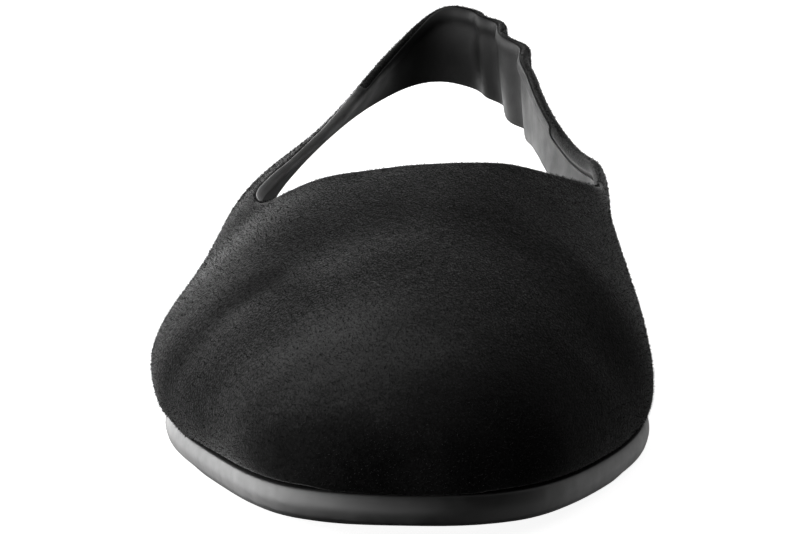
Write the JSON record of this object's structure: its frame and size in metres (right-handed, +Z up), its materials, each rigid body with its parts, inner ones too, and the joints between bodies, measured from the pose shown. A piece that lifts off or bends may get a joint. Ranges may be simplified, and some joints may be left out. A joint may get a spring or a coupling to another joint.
{
  "type": "slingback ballet flat",
  "caption": "Right suede ballet flat with a closed toe, a sling strap behind the heel, a footbed and a low moulded sole.",
  "frame": {"origin": "centre of the shoe's box in plan, on the floor under the sole", "axes": "+X to the inner side of the foot, +Y from the toe to the heel, +Z up"},
  "size_m": [0.0932, 0.2514, 0.0663],
  "materials": {
    "upper": "black suede, matt nap",
    "insole": "smooth dark lining",
    "outsole": "moulded, satin gloss on the side"
  },
  "bodies": {
    "root": {"upper": "upper", "insole": "insole", "outsole": "outsole"}
  },
  "joints": []
}
